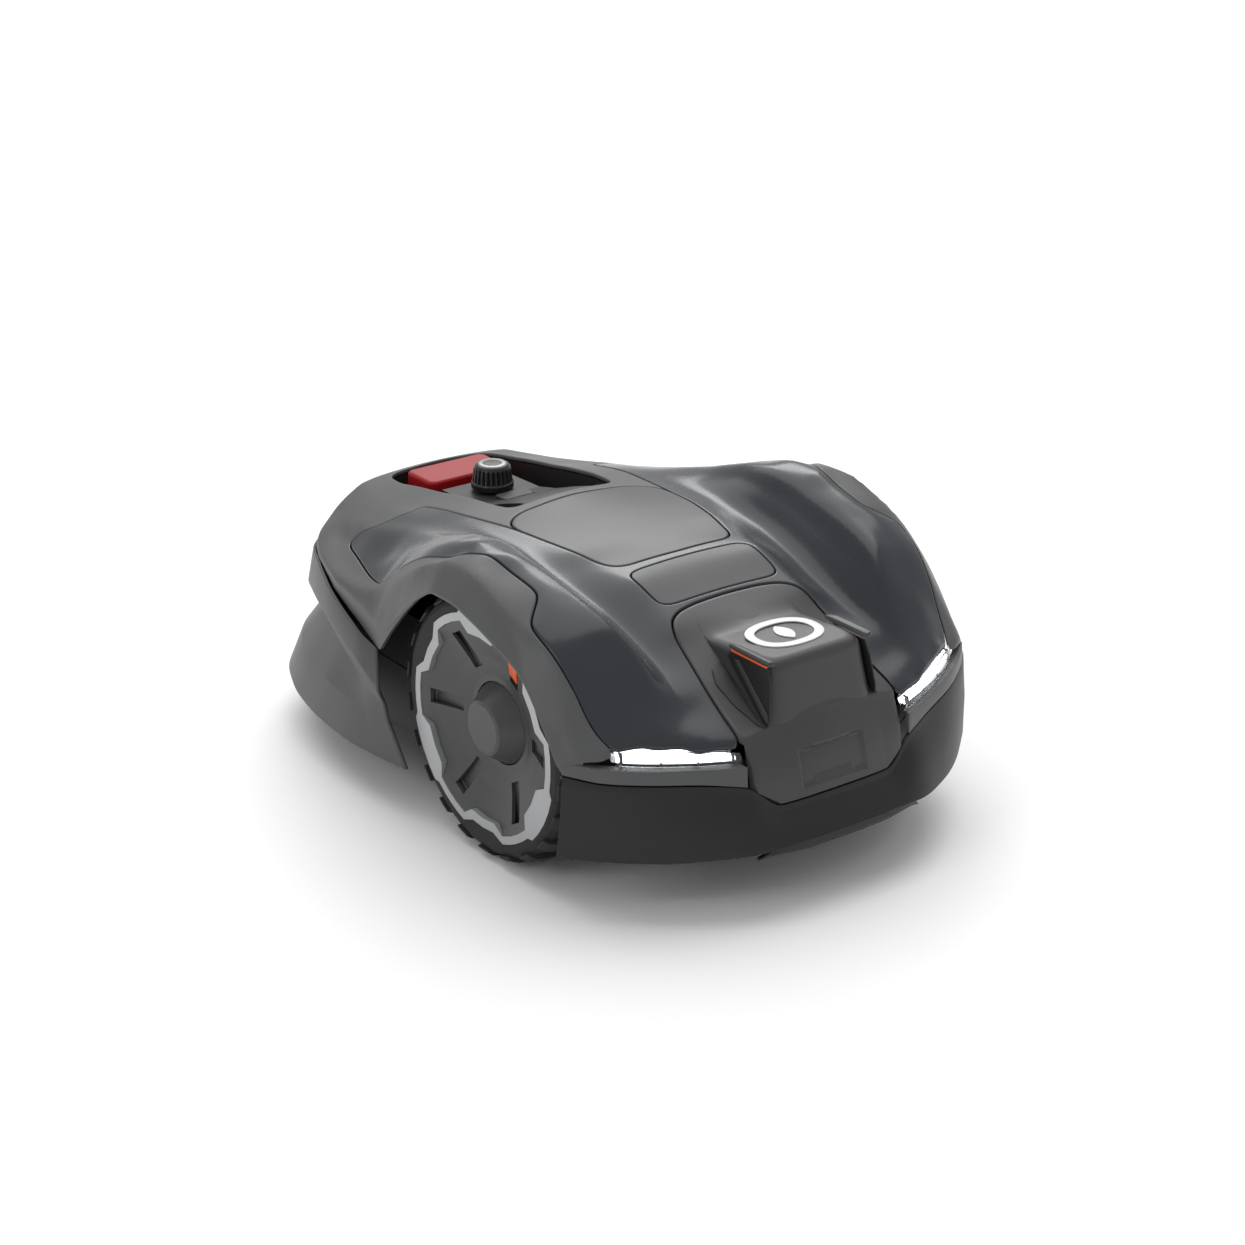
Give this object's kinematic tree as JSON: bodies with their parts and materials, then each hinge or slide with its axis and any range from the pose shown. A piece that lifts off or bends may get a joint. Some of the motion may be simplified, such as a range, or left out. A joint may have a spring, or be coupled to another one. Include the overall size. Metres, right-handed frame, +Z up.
{
  "type": "robotic lawn mower",
  "caption": "Robotic lawn mower with a floating hull, lugged drive wheels in front, rear casters, height-adjustable cutting disc and a rear control well.",
  "frame": {"origin": "on the ground, at the centre of the bounding box in plan", "axes": "-Y is the front (direction of travel), +X is the mower's left, +Z is up"},
  "size_m": [0.45, 0.656, 0.2607],
  "materials": {
    "shell_grey": "satin",
    "slate_gloss": "gloss",
    "hatch_grey": "satin",
    "nose_grey": "satin",
    "black_plastic": "matte",
    "bumper_dark": "matte",
    "skirt_grey": "satin",
    "clear_lens": "clear",
    "reflector": "polished",
    "led_board": "gloss",
    "orange": "gloss",
    "white_print": "gloss",
    "stop_red": "satin",
    "key_grey": "satin",
    "tyre_black": "matte",
    "rim_silver": "satin",
    "wheel_dark": "satin",
    "steel": "brushed",
    "zinc": "plated",
    "brass": "polished",
    "seal_rubber": "matte",
    "battery_blue": "satin",
    "pcb_green": "satin",
    "caster_black": "matte",
    "disc_orange": "satin"
  },
  "bodies": {
    "chassis": {"chassis_lower": "black_plastic", "chassis_upper": "black_plastic", "chassis_seal": "seal_rubber", "chassis_screws": "zinc", "drive_motors": "steel", "battery_pack": "battery_blue", "main_circuit_board": "pcb_green", "charging_contacts": "brass", "height_guide_rods": "steel", "height_motor": "black_plastic", "caster_bushes": "brass", "suspension_posts": "seal_rubber"},
    "cover_carrier": {"suspension_carrier": "black_plastic"},
    "cover": {"top_hatch": "hatch_grey", "name_plate": "hatch_grey", "main_cover": "slate_gloss", "body_shell": "shell_grey", "nose_cover": "nose_grey", "sensor_module": "nose_grey", "sensor_ports": "black_plastic", "nose_accents": "orange", "emblem_plate": "white_print", "front_bumper": "bumper_dark", "chin_insert": "black_plastic", "rear_skirt": "skirt_grey", "headlamp_lenses": "clear_lens", "headlamp_reflectors": "reflector", "led_boards": "led_board", "control_well": "black_plastic", "cover_frame": "black_plastic", "positioning_antenna": "white_print"},
    "stop_button": {"stop_button": "stop_red"},
    "start_button": {"start_button": "key_grey"},
    "jog_shaft": {"jog_shaft": "steel"},
    "jog_knob": {"jog_knob": "key_grey"},
    "cutting_carriage": {"cutting_motor_carriage": "black_plastic"},
    "cutting_disc": {"cutting_disc": "disc_orange", "blade_screws": "zinc"},
    "blade_1": {"blade_1": "steel"},
    "blade_2": {"blade_2": "steel"},
    "blade_3": {"blade_3": "steel"},
    "skid_plate": {"skid_plate": "black_plastic"},
    "height_spindle": {"height_spindle": "steel"},
    "drive_wheel_right": {"tyre_right": "tyre_black", "wheel_rim_right": "rim_silver", "wheel_cover_right": "wheel_dark", "hub_cap_right": "wheel_dark", "wheel_accent_right": "orange"},
    "caster_fork_right": {"caster_fork_right": "black_plastic"},
    "caster_wheel_right": {"caster_wheel_right": "caster_black"},
    "drive_wheel_left": {"tyre_left": "tyre_black", "wheel_rim_left": "rim_silver", "wheel_cover_left": "wheel_dark", "hub_cap_left": "wheel_dark", "wheel_accent_left": "orange"},
    "caster_fork_left": {"caster_fork_left": "black_plastic"},
    "caster_wheel_left": {"caster_wheel_left": "caster_black"}
  },
  "joints": [
    {"name": "drive_wheel_right", "type": "hinge", "parent": "chassis", "child": "drive_wheel_right", "pos_m": [-0.208, -0.0948, 0.12], "axis": [1, 0, 0], "continuous": true},
    {"name": "caster_swivel_right", "type": "hinge", "parent": "chassis", "child": "caster_fork_right", "pos_m": [-0.108, 0.2, 0.095], "axis": [0, 0, 1], "continuous": true},
    {"name": "caster_wheel_right", "type": "hinge", "parent": "caster_fork_right", "child": "caster_wheel_right", "pos_m": [-0.108, 0.22, 0.036], "axis": [1, 0, 0], "continuous": true},
    {"name": "drive_wheel_left", "type": "hinge", "parent": "chassis", "child": "drive_wheel_left", "pos_m": [0.208, -0.0948, 0.12], "axis": [1, 0, 0], "continuous": true},
    {"name": "caster_swivel_left", "type": "hinge", "parent": "chassis", "child": "caster_fork_left", "pos_m": [0.108, 0.2, 0.095], "axis": [0, 0, 1], "continuous": true},
    {"name": "caster_wheel_left", "type": "hinge", "parent": "caster_fork_left", "child": "caster_wheel_left", "pos_m": [0.108, 0.22, 0.036], "axis": [1, 0, 0], "continuous": true},
    {"name": "cover_bump", "type": "slide", "parent": "chassis", "child": "cover_carrier", "axis": [0, 1, 0], "range_m": [0, 0.003], "stiffness_N_per_m": 2000},
    {"name": "cover_lift", "type": "slide", "parent": "cover_carrier", "child": "cover", "axis": [0, 0, 1], "range_m": [0, 0.006]},
    {"name": "stop_press", "type": "slide", "parent": "cover", "child": "stop_button", "axis": [0, 0, -1], "range_m": [0, 0.004], "stiffness_N_per_m": 800},
    {"name": "start_press", "type": "slide", "parent": "cover", "child": "start_button", "axis": [0, 0, -1], "range_m": [0, 0.0012], "stiffness_N_per_m": 800},
    {"name": "jog_press", "type": "slide", "parent": "cover", "child": "jog_shaft", "axis": [0, 0, -1], "range_m": [0, 0.0012], "stiffness_N_per_m": 800},
    {"name": "jog_turn", "type": "hinge", "parent": "jog_shaft", "child": "jog_knob", "pos_m": [0, 0.19, 0.215], "axis": [0, 0, 1], "continuous": true},
    {"name": "cutting_height", "type": "slide", "parent": "chassis", "child": "cutting_carriage", "axis": [0, 0, 1], "range_m": [0, 0.04]},
    {"name": "height_spindle_turn", "type": "hinge", "parent": "chassis", "child": "height_spindle", "pos_m": [0, 0.132, 0.12], "axis": [0, 0, 1], "range_deg": [0, 720]},
    {"name": "cutting_disc_spin", "type": "hinge", "parent": "cutting_carriage", "child": "cutting_disc", "pos_m": [0, 0.045, 0.03], "axis": [0, 0, 1], "continuous": true},
    {"name": "blade_1_swing", "type": "hinge", "parent": "cutting_disc", "child": "blade_1", "pos_m": [0, 0.13, 0.0267], "axis": [0, 0, 1], "continuous": true},
    {"name": "blade_2_swing", "type": "hinge", "parent": "cutting_disc", "child": "blade_2", "pos_m": [-0.07361, 0.0025, 0.0267], "axis": [0, 0, 1], "continuous": true},
    {"name": "blade_3_swing", "type": "hinge", "parent": "cutting_disc", "child": "blade_3", "pos_m": [0.07361, 0.0025, 0.0267], "axis": [0, 0, 1], "continuous": true},
    {"name": "skid_plate_spin", "type": "hinge", "parent": "cutting_disc", "child": "skid_plate", "pos_m": [0, 0.045, 0.018], "axis": [0, 0, 1], "continuous": true}
  ],
  "couplings": [
    {"joint": "height_spindle_turn", "follows": "cutting_height", "rad_per_m": 314.15}
  ]
}
